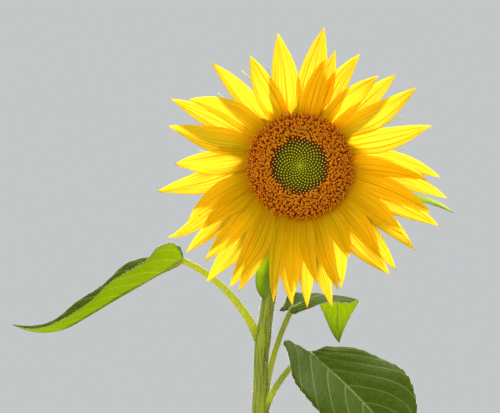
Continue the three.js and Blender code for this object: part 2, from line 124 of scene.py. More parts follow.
# Rays, in two ranks: the clock angle and the reach of each ray's tip, the ray's width, how far it bows
# clockwise halfway along, and how many degrees clockwise its tip hooks
Ray = namedtuple("Ray", "tip reach width bow hook", defaults=(0,))
FRONT_RAYS = [Ray(*row) for row in [
    (14, 92, 19, 0), (41, 99, 21, 1), (56, 116, 23, 7), (73, 113, 22, 5.5), (96, 104, 20, 0),
    (110, 114, 21, 0), (124, 101, 20, 0), (139, 100, 20, 0), (152, 85, 20, 0), (163, 106, 18, 3),
    (172, 97, 15, 3), (183, 108, 20, 0), (191, 114, 14, 0), (210, 115, 23, -5), (225, 110, 19, -3),
    (237, 94, 20, 0), (244, 101, 20, 0), (271, 103, 24, -4), (287, 112, 24, -6), (301, 106, 21, 2.5),
    (336, 100, 22, -2.5),
]]
BACK_RAYS = [Ray(*row) for row in [
    (10, 118, 26, 2.5), (17, 101, 18, 2), (28, 106, 21, -4), (46, 111, 21, 0), (94, 116, 20, 0),
    (102, 124, 20, 0), (113, 124, 23, 3), (126, 117, 20, 0), (137, 116, 20, 0), (140, 115, 25, 3),
    (161, 105, 21, -5), (167, 118, 19, 0), (177, 116, 18, -4), (183, 114, 19, 0), (206, 114, 20, -4),
    (219, 122, 24, -5.5), (233, 117, 20, -3), (242, 123, 18, -2, 8), (260, 119, 23, -6.5),
    (298, 120, 21, 0), (320, 113, 19, 2), (351, 112, 26, 3.5),
]]
RAY_ROOT = 41
RAY_ROOT_WIDTHS = (7, 17)  # the least and the most
RAY_ROOT_OVERLAP = 1.1
RAY_EVENNESS = 0.35  # 0 roots each ray under its tip, and 1 spreads the roots evenly
RAY_FULL_AT = 0.42  # a ray is full width this far along
RAY_TAPER = 2.7
RAY_TIP = 0.15
RAY_CUP = 0.16
RAY_TWIST = 10
RAY_BEND = 4
RAY_WAVE = 1.1
RAY_CELLS = (16, 32)
RAY_GROOVES = (-0.75, -0.5, -0.25, 0, 0.25, 0.5, 0.75)
MAIN_GROOVES = (-0.5, 0, 0.5)
GROOVE_DEPTH = 0.9
GROOVE_REACH = 0.2  # to each side, as a share of the ray's half width
RAY_SKIN = 0.35  # thickness of a ray

# Bracts: the clock angle, reach and curl of the tip, and how leafy the bract is, from 0 to 1
Bract = namedtuple("Bract", "clock reach curl leafiness")
LEAFY_BRACTS = [Bract(105.5, 134, 6, 0.3), Bract(195, 112, -6, 1)]
LEAFY_ROOM = 9  # no plain bract stands within this angle of a leafy one
BRACTS = 17  # in each series
BRACT_TURN = -7  # clock angle of the first outer bract
BRACT_STRAY = 4
BRACT_REACH = (92, 6)  # the middle value, and how far the bracts stray from it
BRACT_CURL = 5
BRACT_ROOT = 35
BRACT_WIDTH = 19
BRACT_AWN = 1.3  # half width of the drawn-out tip
BRACT_TIP = 0.18
BRACT_BEND = 55
BRACT_CUP = 0.14
BRACT_TWIST = 8
BRACT_BOW = 1.5
BRACT_CELLS = (10, 22)
BRACT_SKIN = 0.5

# Leaves: where the stalk leaves the stem, its heading, its length and the blade's, the blade's width,
# the slopes at the stem, the blade's foot, just past it, two thirds along it and its tip, how far the
# halves fold up, how far the blade rolls at its foot and further on and swings round, and its outline:
# where it is widest, the foot's share of the width, how full it tapers, how far the lobes reach back
# and how unevenly
Leaf = namedtuple(
    "Leaf", "height heading stalk blade width rises fold roll twist veer widest foot fullness lobe skew"
)
TOP_LEAVES = [
    Leaf(1154, 178, 93, 163, 70, (68, 26, -30, -31.5, 27), 38, 4, -12, 0, 0.1, 0.84, 2.1, 0.01, 0),
    Leaf(1100, 30, 83, 122, 58, (83, 60, 27, -25, -134), 5, 5, 0, 77, 0.34, 0.38, 1.3, 0.05, 0),
    Leaf(1093, -34, 68, 124, 112, (68, 33, -34, -42, -52), 15, 17, 0, 0, 0.46, 0.28, 2, 0.06, 0.09),
]
LOWER_LEAVES = 13
LOWER_TOP = 1034
INTERNODE = 50
INTERNODE_GROWTH = 1.12  # above 1, the leaves stand further apart down the stem
LEAF_TURN = 137.5  # from each leaf to the next
SHORTEST_BLADE = 95
BLADE_SWELL = 125
WIDTH_TO_LENGTH = 0.8
STALK_TO_LENGTH = 0.6
LOWER_RISES = (46, 6, -20, -46, -64)
RISE_STRAY = 8
OLDEST_DROOP = 14
PAST_FOOT, TWO_THIRDS = 0.04, 0.66  # where along the blade the third and fourth slopes are
LINE_STEPS = 120
BLADE_CELLS = (26, 60)
MIDRIB_CROWDING = 1.35  # above 1, a blade's cells are closer at the midrib
BLADE_SKIN = 0.5
TEETH = 15  # along each margin
TOOTH_DEPTH = 0.035
QUILT_HEIGHT = 0.08  # of the way between side veins
WAVE_HEIGHT = 0.02  # of the blade's length
WAVES = 2.6
# Side veins leave the midrib evenly, and each runs forward as it nears the margin. A leaf as broad as
# it is long has this many pairs, which run this share of its length forward.
VEIN_PAIRS = 5.6
VEIN_START = 0.2
VEIN_REACH = 0.54
VEIN_SWEEP = 1.15
STALK_RADII = (0.024, 0.019, 0.0165, 0.0155, 0.015)  # of the blade's length, from the stem on
STALK_CORE = 0.3  # and this more
STALK_RINGS = 48
STALK_SIDES = 14
THINNEST_MIDRIB = 0.25
MIDRIB_END = 0.9  # of the blade's length
CHANNEL_DEPTH = 0.28 / 150  # of the blade's length
CHANNEL_WIDTH = 0.35

# Hairs: their radius, the range of their lengths as shares of a middle length, their numbers and those
# middle lengths
HAIR_RADIUS = 0.18
HAIR_LENGTHS = (0.5, 1.4)
STEM_HAIRS, STEM_HAIR = 16000, 1.9
TOP_STALK_HAIRS, STALK_HAIRS, STALK_HAIR = 900, 450, 1.3
YOUNG_SKIN = (800, 1150)  # heights between which the skin grows more hairy
BARE_FOOT = 3
MARGIN_HAIR_RADIUS = 0.11
MARGIN_HAIR_LENGTHS = (0.5, 1.3)
MARGIN_HAIRS, MARGIN_HAIR = 4, 0.9  # on each step of the margin
MARGIN_STEPS = 3 * BLADE_CELLS[1]


def lerp(a, b, t):
    return a + (b - a) * t


def clamp(x, low=0.0, high=1.0):
    return min(max(x, low), high)


def smoothstep(x, low, high):
    t = clamp((x - low) / (high - low))
    return t * t * (3 - 2 * t)


def scatter(member, trait):
    """A repeatable number from -1 to 1 for one trait of one member of a series."""
    wave = sin(member * 12.9898 + trait * 78.233) * 43758.5453
    return 2 * (wave - floor(wave)) - 1


def vary(rng, middle, stray):
    return middle + rng.uniform(-stray, stray)


def towards(angle):
    """The direction at an angle in the XY plane."""
    return Vector((cos(angle), sin(angle), 0))


def along(values, t):
    """The value at t, from 0 to 1 along a row of evenly spaced values."""
    place = clamp(t) * (len(values) - 1)
    before = min(floor(place), len(values) - 2)
    return lerp(values[before], values[before + 1], place - before)


def stem_value(height, column):
    """A column of the stem's stations at a height, eased from one station to the next."""
    rows = STEM_STATIONS
    i = 1
    while i < len(rows) - 1 and rows[i][0] < height:
        i += 1

    def slope(k):
        a, b = rows[max(k - 1, 0)], rows[min(k + 1, len(rows) - 1)]
        return (b[column] - a[column]) / (b[0] - a[0])

    low, high = rows[i - 1], rows[i]
    span = high[0] - low[0]
    t = (height - low[0]) / span
    return (
        low[column] * (1 + 2 * t) * (1 - t) ** 2
        + high[column] * t * t * (3 - 2 * t)
        + span * (slope(i - 1) * t * (1 - t) ** 2 - slope(i) * t * t * (1 - t))
    )


def stem_centre(height):
    return Vector((stem_value(height, 1), stem_value(height, 2), height))


Joint = namedtuple("Joint", "point direction side radius")


def spine_of(points, radii, first_side, first_direction=None, last_direction=None):
    """Gives each joint of a spine its direction, and a side turned as little as possible."""
    side = first_side.copy()
    last = len(points) - 1
    joints = []
    for i, point in enumerate(points):
        told = first_direction if i == 0 else last_direction if i == last else None
        direction = told or (points[min(i + 1, last)] - points[max(i - 1, 0)]).normalized()
        side = (side - direction * side.dot(direction)).normalized()
        joints.append(Joint(point, direction, side, radii[i]))
    return joints


# Making pieces


def new_piece(name, bm, materials, nodes):
    """Turns a bmesh in millimetres into a piece that rides on the plant's one body."""
    bmesh.ops.scale(bm, vec=Vector((MM, MM, MM)), verts=bm.verts)
    for face in bm.faces:
        face.smooth = True
    mesh = bpy.data.meshes.new(name)
    bm.to_mesh(mesh)
    bm.free()
    return dress(name, mesh, materials, nodes)


def put(name, data):
    """Puts a mesh, a light or a camera into the scene."""
    obj = bpy.data.objects.new(name, data)
    bpy.context.scene.collection.objects.link(obj)
    return obj


def dress(name, mesh, materials, nodes):
    """Makes a piece of a mesh. Its materials are given by name."""
    obj = put(name, mesh)
    for worn in materials:
        mesh.materials.append(bpy.data.materials[worn])
    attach(obj, BODY)
    if nodes:
        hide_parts(*nodes)
    return obj


def thicken(obj, millimetres, under_material=0):
    """Gives a sheet its thickness. The under side can wear the next material."""
    shell = obj.modifiers.new("thickness", "SOLIDIFY")
    shell.thickness = millimetres * MM
    shell.offset = 0
    shell.material_offset = under_material
    shell.use_even_offset = False


def lay_sheet(bm, cells, place, accent_of):
    """Adds a grid whose vertices go to place(u, v), u from -1 to 1 across it and v from 0 to 1
    along it, with u and v as its UV map, and accent_of(u, v) as its accent attribute."""
    across, length = cells
    accent = bm.verts.layers.float.get("accent") or bm.verts.layers.float.new("accent")
    uv_map = bm.loops.layers.uv.verify()
    made = bmesh.ops.create_grid(bm, x_segments=across, y_segments=length, size=1)["verts"]
    spots = {vert: (vert.co.x, (vert.co.y + 1) / 2) for vert in made}
    for face in {face for vert in made for face in vert.link_faces}:
        for loop in face.loops:
            u, v = spots[loop.vert]
            loop[uv_map].uv = ((u + 1) / 2, v)
    for vert, (u, v) in spots.items():
        vert.co = place(u, v)
        vert[accent] = accent_of(u, v)


def lay_limb(spine, sides, relief=None):
    """A limb: a cylinder, cut across once for each joint of its spine, whose rings go to the joints.
    relief(angle, share) is how far the skin stands out there."""
    bm = bmesh.new()
    bmesh.ops.create_cone(bm, cap_ends=True, segments=sides, radius1=1, radius2=1, depth=1)
    long_edges = [edge for edge in bm.edges if abs(edge.verts[0].co.z - edge.verts[1].co.z) > 0.5]
    bmesh.ops.subdivide_edges(bm, edges=long_edges, cuts=len(spine) - 2)
    last = len(spine) - 1
    for vert in bm.verts:
        share = vert.co.z + 0.5
        joint = spine[round(share * last)]
        angle = atan2(vert.co.y, vert.co.x)
        radius = joint.radius + (relief(angle, share) if relief else 0)
        other = joint.direction.cross(joint.side)
        vert.co = joint.point + radius * (cos(angle) * joint.side + sin(angle) * other)
    return bm


def shape_arrays(bm):
    """The vertices and triangles of a small shape, with each triangle's material."""
    bmesh.ops.triangulate(bm, faces=bm.faces)
    verts = np.array([vert.co for vert in bm.verts])
    bm.verts.index_update()
    tris = np.array([[vert.index for vert in face.verts] for face in bm.faces])
    worn = np.array([face.material_index for face in bm.faces])
    bm.free()
    return verts, tris, worn


def joined_copies(name, shape, copies, materials, nodes=()):
    """One piece made of copies of a small shape. A copy is its place, a 4 x 4 matrix in millimetres,
    and what it adds to its material numbers."""
    verts, tris, worn = shape
    matrices, wears = (np.array(column) for column in zip(*copies))
    spots = np.einsum("nij,vj->nvi", matrices[:, :3, :3], verts) + matrices[:, None, :3, 3]
    count = len(verts)
    faces = (tris[None] + count * np.arange(len(matrices))[:, None, None]).reshape(-1, 3)
    numbers = np.tile(worn, len(matrices)) + np.repeat(wears, len(tris))
    mesh = bpy.data.meshes.new(name)
    mesh.from_pydata((spots.reshape(-1, 3) * MM).tolist(), [], faces.tolist())
    mesh.polygons.foreach_set("material_index", numbers.astype(np.int32))
    mesh.polygons.foreach_set("use_smooth", np.full(len(faces), True))
    mesh.update()
    return dress(name, mesh, materials, nodes)


def standing(point, direction, turn, width, height):
    """A matrix that stands a shape at a point, its +Z along direction, turned about it and scaled."""
    facing = direction.to_track_quat("Z", "Y").to_matrix().to_4x4()
    scale = Matrix.Diagonal((width, width, height, 1))
    return Matrix.Translation(point) @ facing @ Matrix.Rotation(turn, 4, "Z") @ scale


# Materials


def linear(code):
    """A hex colour as the linear values that a shader takes."""
    shares = [int(code[i : i + 2], 16) / 255 for i in (1, 3, 5)]
    return (*[c / 12.92 if c <= 0.04045 else ((c + 0.055) / 1.055) ** 2.4 for c in shares], 1)


def add_node(tree, kind, inputs=(), **settings):
    """Adds a node with its settings. Its inputs, in order or by key, are values, hex colours or the
    sockets that they link from."""
    node = tree.nodes.new("ShaderNode" + kind)
    for name, value in settings.items():
        setattr(node, name, value)
    for key, value in inputs.items() if isinstance(inputs, dict) else enumerate(inputs):
        if isinstance(value, bpy.types.NodeSocket):
            tree.links.new(value, node.inputs[key])
        else:
            node.inputs[key].default_value = linear(value) if isinstance(value, str) else value
    return node.outputs


def new_material(name, rough, gloss):
    """Makes a material. Gives the function that adds its nodes, and its skin's shader."""
    made = bpy.data.materials.new(name)
    made.use_nodes = True
    skin = made.node_tree.nodes["Principled BSDF"]
    skin.inputs["Roughness"].default_value = rough
    skin.inputs["Specular IOR Level"].default_value = gloss
    return partial(add_node, made.node_tree), skin


def blend(add, share, colour, other):
    return add("Mix", {0: share, 6: colour, 7: other}, data_type="RGBA")[2]


def product(add, a, b):
    return add("Math", [a, b], operation="MULTIPLY")[0]


def noise(add, place, scale, detail):
    return add("TexNoise", {"Vector": place, "Scale": scale, "Detail": detail})[0]


def colour_and_relief(add, skin, colour, height, strength, depth):
    """Gives a skin its colour, and a relief of so many millimetres where height rises from 0 to 1."""
    relief = add("Bump", {"Height": height, "Strength": strength, "Distance": depth * MM})[0]
    skin.id_data.links.new(colour, skin.inputs["Base Color"])
    skin.id_data.links.new(relief, skin.inputs["Normal"])


def let_light_through(add, skin, colour, share):
    """Thin plant tissue: some of the light that falls on one face leaves by the other."""
    glow = add("BsdfTranslucent", {"Color": colour})[0]
    both = add("MixShader", [share, skin.outputs[0], glow])[0]
    tree = skin.id_data
    tree.links.new(both, tree.nodes["Material Output"].inputs["Surface"])


def ray_tissue():
    """Ray floret: a petal a third of a millimetre thick, satin, in a clear yellow. It has a few sharp
    furrows along it, 0.5 mm wide, painted darker for the shade that lies in them, with finer streaks
    between them, 0.7 mm apart on a ray 24 mm wide. Towards its root the ray and the light it lets
    through are a deeper yellow: partly its own deeper base, partly painted shade of the disc and
    bracts. It glows where the light comes from behind."""
    add, skin = new_material("ray floret tissue", 0.5, 0.05)
    uv = add("TexCoord")["UV"]
    spot = add("SeparateXYZ", [uv])
    groove = add("Attribute", attribute_name="accent")["Fac"]
    eighths = product(add, spot[0], 8)
    from_line = add("Math", [eighths, 0.5], operation="PINGPONG")[0]
    line = add("MapRange", [from_line, 0.08, 0.3, 1.0, 0.0])[0]
    # The furrow lines: where the furrows' painted shade goes
    furrow = product(add, line, groove)
    near_root = add("MapRange", [spot[1], 0.0, 0.3, 1.0, 0.0], interpolation_type="SMOOTHSTEP")[0]
    place = add("Mapping", {0: uv, 3: (34, 1.6, 1)})[0]
    streaks = noise(add, place, 1, 3)

    faint = product(add, streaks, 0.3)
    # Painted shade in the furrows
    dark = product(add, furrow, 0.45)
    # A deeper yellow towards the root: partly the ray's own base, partly painted shade of the disc and bracts
    body = blend(add, near_root, "#f0de02", "#e6c402")
    streaked = blend(add, faint, body, "#dcc004")
    colour = blend(add, dark, streaked, "#c69e0a")
    colour_and_relief(add, skin, colour, streaks, 0.25, 0.4)

    fine = add("MapRange", [streaks, 0.35, 0.7, 0.0, 0.9])[0]
    # The light let through: painted shade in the furrows, and deeper towards the root, partly own base,
    # partly painted shade
    painted_furrow_shade_through = product(add, furrow, 0.85)
    glow = blend(add, near_root, "#fff88c", "#ffe652")
    glow = blend(add, fine, glow, "#f8be38")
    glow = blend(add, painted_furrow_shade_through, glow, "#dca606")
    let_light_through(add, skin, glow, 0.76)


def leaf_skin(name, green, vein, glow, share):
    """Leaf blade: a rough, matt skin over green tissue, with pale veins that stand out beneath and
    lie in furrows above. A net of finer veins runs between them, its meshes drawn 3 mm wide so that
    they show, over a mottle 22 mm across of deeper and more olive green: partly the leaf's own
    uneven tone, partly painted light for the yellow light that falls through the rays."""
    add, skin = new_material(name, 0.6, 0.01)
    spot = add("SeparateXYZ", [add("TexCoord")["UV"]])
    place = add("TexCoord")["Object"]
    rung = add("Attribute", attribute_name="accent")["Fac"]
    from_vein = add("Math", [rung, 0.5], operation="PINGPONG")[0]
    side_veins = add("MapRange", [from_vein, 0.006, 0.055, 0.7, 0.0])[0]
    from_margin = add("Math", [spot[0], 0.5], operation="PINGPONG")[0]
    midrib = add("MapRange", [from_margin, 0.46, 0.485, 0.0, 1.0])[0]
    veins = add("Math", [side_veins, midrib], operation="MAXIMUM")[0]
    net = add("TexVoronoi", {"Vector": place, "Scale": 1 / (3.2 * MM)}, feature="DISTANCE_TO_EDGE")[0]
    net_lines = add("MapRange", [net, 0.0, 0.12, 0.2, 0.0])[0]
    mottle_and_painted_light = noise(add, place, 1 / (22 * MM), 3)

    # The olive mottle: partly the leaf's own tone, partly painted light for light yellowed by the rays
    soft = product(add, mottle_and_painted_light, 0.5)
    pale = product(add, veins, 0.85)
    body = blend(add, soft, *green)
    netted = blend(add, net_lines, body, vein)
    colour = blend(add, pale, netted, vein)
    height = add("Math", [veins, 0.8, net_lines], operation="MULTIPLY_ADD")[0]
    colour_and_relief(add, skin, colour, height, 0.5, 0.6)

    lines = add("Math", [veins, net_lines], operation="MAXIMUM")[0]
    through = blend(add, lines, *glow)
    let_light_through(add, skin, through, share)


def green_skin(name, dark, pale, streak_mm):
    """Stem and stalk: a firm green skin with fine streaks along it, satin between the hairs."""
    add, skin = new_material(name, 0.5, 0.2)
    place = add("Mapping", {0: add("TexCoord")["Object"], 3: (1, 1, 0.06)})[0]
    streaks = noise(add, place, 1 / (streak_mm * MM), 4)
    sharp = add("MapRange", [streaks, 0.35, 0.65, 0.0, 1.0])[0]
    colour = blend(add, sharp, dark, pale)
    colour_and_relief(add, skin, colour, streaks, 0.35, 0.5)
    return add, skin


def bract_skin():
    """Bract: a leafy green scale, matt, hairy and pale at its drawn-out tip, that lets some light by.
    The light it lets by turns near white at the tip: partly its pale hairs, partly a painted highlight.
    Its ribs are 1.2 mm apart."""
    add, skin = new_material("bract skin", 0.55, 0.35)
    tip = add("Attribute", attribute_name="accent")["Fac"]
    place = add("Mapping", {0: add("TexCoord")["UV"], 3: (16, 1.5, 1)})[0]
    ribs = noise(add, place, 1, 3)
    faint = product(add, ribs, 0.4)
    body = blend(add, tip, "#66861a", "#d4dca0")
    colour = blend(add, faint, body, "#9aae38")
    colour_and_relief(add, skin, colour, ribs, 0.4, 0.5)
    # Near white through the tip: partly the pale hairy tip, partly a painted highlight
    glow = blend(add, tip, "#c4da1c", "#f2f8d0")
    let_light_through(add, skin, glow, 0.6)


def plain_tissue(name, code, other, rough, grain_mm, glow=0.0):
    """Soft tissue with a fine mottle between two tints."""
    add, skin = new_material(name, rough, 0.05)
    place = add("TexCoord")["Object"]
    mottle = noise(add, place, 1 / (grain_mm * MM), 2)
    colour = blend(add, mottle, code, other)
    skin.id_data.links.new(colour, skin.inputs["Base Color"])
    if glow:
        let_light_through(add, skin, other, glow)


def make_materials():
    ray_tissue()
    # The upper skin's dark greens: partly the leaf's own darker upper side, partly painted shade of the head
    # over the leaves
    leaf_skin("leaf upper skin", ("#1a2c12", "#303c12"), "#7c8a5c", ("#c4dc1c", "#dcec60"), 0.36)
    leaf_skin("leaf under skin", ("#5e8410", "#7c981a"), "#ccd47c", ("#d8e81e", "#f8fc8c"), 0.6)
    green_skin("stem skin", "#626e14", "#98a424", 1.5)
    # A stalk lets some light by, which makes it look pale and juicy
    add, skin = green_skin("leaf stalk skin", "#7e8816", "#b0b43c", 1.6)
    let_light_through(add, skin, "#dce264", 0.6)
    bract_skin()
    # The head's green back: waxy and dull
    plain_tissue("receptacle skin", "#456420", "#66822e", 0.6, 6)
    # Bare tissue between the florets and between the buds: dull, and painted dark for the shade far down
    # between them
    plain_tissue("floret bed", "#5c2404", "#8e460a", 0.8, 2)
    plain_tissue("bud bed", "#464c04", "#565806", 0.8, 2)
    plain_tissue("bud bed at the rim", "#4a3405", "#624808", 0.8, 2)
    # Buds: smooth tips that let a little light in, over sides painted duller as the shade between the crowded
    # buds
    plain_tissue("bud side", "#6c700a", "#72640a", 0.7, 1)
    plain_tissue("green bud", "#b0b812", "#c8c82a", 0.5, 1, 0.15)
    plain_tissue("olive bud", "#c8b420", "#e0ca40", 0.5, 1, 0.1)
    plain_tissue("golden bud tip", "#dcb040", "#ecc45c", 0.5, 1, 0.1)
    # Corollas: lobes as thin as paper, which glow orange, round a dull brown throat
    plain_tissue("corolla lobe", "#ff8c08", "#ffa818", 0.55, 1.5, 0.2)
    plain_tissue("bright corolla lobe", "#ff9408", "#ffb41c", 0.55, 1.5, 0.25)
    plain_tissue("darker corolla lobe", "#dc6806", "#f48a10", 0.55, 1.5, 0.15)
    plain_tissue("corolla throat", "#6e2a08", "#8e420c", 0.8, 1)
    # Stigmas: downy, and golden with pollen
    plain_tissue("stigma", "#f09a24", "#ffb83c", 0.6, 1, 0.15)
    # Hairs: clear and almost white, and bright where the light comes from behind
    plain_tissue("plant hair", "#e6e8c4", "#f6f6e2", 0.5, 3, 0.5)


# Rays and bracts


def strap(bm, cells, root, tip, start, reach, half_width, depth_at, cup, twist, curl, bow, relief, accent_of):
    """A strap that runs outwards, from radius start at the clock angle root to radius reach at the
    clock angle tip. half_width and depth_at take the share of the way, and relief and accent_of u
    and v."""

    def spine_at(t):
        clock = radians(lerp(root, tip - curl, t**1.2) + curl * t**4)
        radius = lerp(start, reach, t)
        return Vector((radius * sin(clock), radius * cos(clock), depth_at(t)))

    @lru_cache(None)
    def frame_at(v):
        direction = (spine_at(min(v + 0.02, 1)) - spine_at(max(v - 0.02, 0))).normalized()
        flat = Vector((direction.y, -direction.x, 0)).normalized()
        side = Quaternion(direction, radians(twist) * v) @ flat
        point = spine_at(v) + side * (bow * sin(pi * v))
        return point, side, side.cross(direction), half_width(v)

    def place(u, v):
        point, side, top, half = frame_at(v)
        lift = cup * half * u * u * min(4 * v, 1) + relief(u, v)
        return point + side * (u * half) + top * lift

    lay_sheet(bm, cells, place, accent_of)


def ray_roots(rank):
    """Each ray's clock angle and width at its root. The roots close round the head."""
    share = 360 / len(rank)
    offset = sum(ray.tip - i * share for i, ray in enumerate(rank)) / len(rank)
    clocks = [lerp(ray.tip, offset + i * share, RAY_EVENNESS) for i, ray in enumerate(rank)]
    ring = [clocks[-1] - 360, *clocks, clocks[0] + 360]
    widths = [RAY_ROOT_OVERLAP * RAY_ROOT * radians((b - a) / 2) for a, b in zip(ring, ring[2:])]
    return [(clock, clamp(width, *RAY_ROOT_WIDTHS)) for clock, width in zip(clocks, widths)]


def lay_ray(bm, ray, root, root_width, k, depth, rise, fall):
    """One ray. Its number k makes its bend, twist, waves and grooves its own."""
    bend = RAY_BEND * scatter(k, 1)
    wave = RAY_WAVE * scatter(k, 11)
    cuts = [
        clamp(0.65 + 0.6 * scatter(k, 20 + j)) * (1 if at in MAIN_GROOVES else 0.5)
        for j, at in enumerate(RAY_GROOVES)
    ]

    def half_width(t):
        width = lerp(root_width, ray.width, smoothstep(t, 0, RAY_FULL_AT))
        return max(width / 2 * (1 - t**RAY_TAPER), RAY_TIP)

    def depth_at(t):
        return depth + rise * sin(0.75 * pi * t) - fall * t * t + bend * t**3

    def groove(u, v):
        fade = smoothstep(v, 0.02, 0.2) * (1 - smoothstep(v, 0.85, 1))
        return fade * max(cut * max(1 - abs(u - at) / GROOVE_REACH, 0) for at, cut in zip(RAY_GROOVES, cuts))

    def relief(u, v):
        ripple = wave * u * sin(tau * (1.3 * v + scatter(k, 12)))
        return ripple * v - GROOVE_DEPTH * groove(u, v)

    twist = RAY_TWIST * scatter(k, 3)
    strap(
        bm, RAY_CELLS, root, ray.tip, RAY_ROOT, ray.reach, half_width, depth_at,
        RAY_CUP, twist, ray.hook, ray.bow, relief, groove,
    )


def ray_rank(name, node, rank, depth, rise, fall, seed):
    bm = bmesh.new()
    for i, (ray, (root, root_width)) in enumerate(zip(rank, ray_roots(rank))):
        lay_ray(bm, ray, root, root_width, i + seed, depth, rise, fall)
    bmesh.ops.transform(bm, matrix=HEAD, verts=bm.verts)
    thicken(new_piece(name, bm, ["ray floret tissue"], [node]), RAY_SKIN)


def lay_bract(bm, bract, k, depth, fall):
    """One bract: an ovate scale with a drawn-out tip, or for a leafy one a broad strap."""

    def half_width(t):
        foot = BRACT_WIDTH / 2 * (0.7 + 0.3 * smoothstep(t, 0, 0.25))
        scale = foot * (1 - smoothstep(t, 0.12, 0.66))
        broad = 0.95 * foot * (1 - t**10)
        return max(lerp(scale, broad, bract.leafiness), BRACT_AWN * (1 - t**2), BRACT_TIP)

    def depth_at(t):
        return depth - fall * min(t * (bract.reach - BRACT_ROOT) / BRACT_BEND, 1) ** 1.6

    def relief(u, v):
        rib = -0.9 * exp(-((u / 0.15) ** 2)) * (1 - v)
        return rib + (0.9 * u * u + 0.5 * u) * sin(9 * v + 3 * scatter(k, 5)) * v

    def pale_tip_and_highlight(u, v):
        return (1 - bract.leafiness) * v * v

    twist, bow = BRACT_TWIST * scatter(k, 3), BRACT_BOW * scatter(k, 6)
    strap(
        bm, BRACT_CELLS, bract.clock, bract.clock, BRACT_ROOT, bract.reach, half_width, depth_at,
        BRACT_CUP, twist, bract.curl, bow, relief, pale_tip_and_highlight,
    )


def bract_series(name, node, depth, fall, first, leafy, seed):
    bm = bmesh.new()
    reach, stray = BRACT_REACH
    plain = [
        Bract(
            first + 360 / BRACTS * i + BRACT_STRAY * scatter(i + seed, 1),
            reach + stray * scatter(i + seed, 2), BRACT_CURL * scatter(i + seed, 4), 0,
        )
        for i in range(BRACTS)
    ]
    kept = [bract for bract in plain if all(abs(bract.clock - other.clock) > LEAFY_ROOM for other in leafy)]
    for i, bract in enumerate(kept + leafy):
        lay_bract(bm, bract, i + seed, depth, fall)
    bmesh.ops.transform(bm, matrix=HEAD, verts=bm.verts)
    thicken(new_piece(name, bm, ["bract skin"], [node]), BRACT_SKIN)


def turned(corners, steps):
    """Spins a closed outline of [radius, depth] corners about the head's axis."""
    bm = bmesh.new()
    verts = [bm.verts.new((radius, 0, depth)) for radius, depth in corners]
    edges = [bm.edges.new((a, b)) for a, b in zip(verts, verts[1:])]
    bmesh.ops.spin(
        bm, geom=verts + edges, axis=UP, cent=(0, 0, 0), angle=tau, steps=steps, use_merge=True,
    )
    bmesh.ops.remove_doubles(bm, verts=bm.verts, dist=0.01)
    bmesh.ops.recalc_face_normals(bm, faces=bm.faces)
    bmesh.ops.transform(bm, matrix=HEAD, verts=bm.verts)
    return bm


def make_receptacle():
    bm = turned([(r, rise - RECEPTACLE_DEPTH) for r, rise in RECEPTACLE_OUTLINE], 8 * BRACTS)
    to_head = HEAD.inverted()
    for vert in bm.verts:
        spot = to_head @ vert.co
        radius = hypot(spot.x, spot.y)
        rib = cos(BRACTS * (atan2(spot.x, spot.y) - radians(BRACT_TURN)))
        if spot.z < HEAD_RIBS_BELOW - RECEPTACLE_DEPTH:
            height = HEAD_RIB_HEIGHT * rib * smoothstep(radius, *HEAD_RIB_RADII)
            vert.co -= HEAD_AXIS * height
    new_piece("receptacle_skin", bm, ["receptacle skin"], ["receptacle"])


# The disc and its florets


def bed_height(radius):
    return along(BED_PROFILE, radius / DISC_RADIUS)


def bud_shape():
    """A closed bud: its sides wear material 0 and its rounded tip material 1."""
    bm = bmesh.new()
    bmesh.ops.create_uvsphere(bm, u_segments=8, v_segments=6, radius=1)
    bmesh.ops.translate(bm, vec=(0, 0, 0.6), verts=bm.verts)
    for face in bm.faces:
        face.material_index = int(face.calc_center_median().z > 1.35)
    return shape_arrays(bm)


def lathed_lobes(rings, lobes, throat_from):
    """A closed body of stacked rings, each given as its radius at a lobe, its radius between lobes
    and its height. Faces from ring throat_from on wear material 1, the others material 0."""
    bm = bmesh.new()
    bmesh.ops.create_circle(bm, cap_ends=True, segments=2 * lobes, radius=1)
    ring, edges = list(bm.verts), list(bm.edges)
    for number, (at_lobe, between, height) in enumerate(rings):
        if number:
            grown = bmesh.ops.extrude_edge_only(bm, edges=edges)["geom"]
            ring = {part for part in grown if isinstance(part, bmesh.types.BMVert)}
            edges = [part for part in grown if isinstance(part, bmesh.types.BMEdge)]
            edges = [edge for edge in edges if ring.issuperset(edge.verts)]
            for face in (part for part in grown if isinstance(part, bmesh.types.BMFace)):
                face.material_index = int(number >= throat_from)
        for vert in ring:
            angle = atan2(vert.co.y, vert.co.x)
            on_lobe = round(angle / pi * lobes) % 2 == 0
            radius = at_lobe if on_lobe else between
            vert.co = (radius * cos(angle), radius * sin(angle), height)
    for face in bmesh.ops.contextual_create(bm, geom=edges)["faces"]:
        face.material_index = int(len(rings) > throat_from)
    bmesh.ops.recalc_face_normals(bm, faces=bm.faces)
    return shape_arrays(bm)


def floret_shape():
    """An open floret: a tube that flares into five pointed lobes which curl back, and the dark tube
    of anthers that stands in its throat."""
    tube = [(0.42, 0.42, 0), (0.5, 0.46, 0.6), (1.0, 0.52, 0.94), (0.46, 0.38, 0.86)]
    anthers = [(0.3, 0.3, 0.72), (0.2, 0.2, 1.1)]
    return lathed_lobes(tube + anthers, 5, len(tube))


def closed_floret_shape():
    """A floret about to open: a swollen tip with five seams over a waist."""
    rings = [(0.5, 0.5, 0), (0.55, 0.5, 0.4), (0.92, 0.74, 0.72), (0.86, 0.68, 0.9), (0.3, 0.24, 1.05)]
    return lathed_lobes(rings, 5, len(rings))


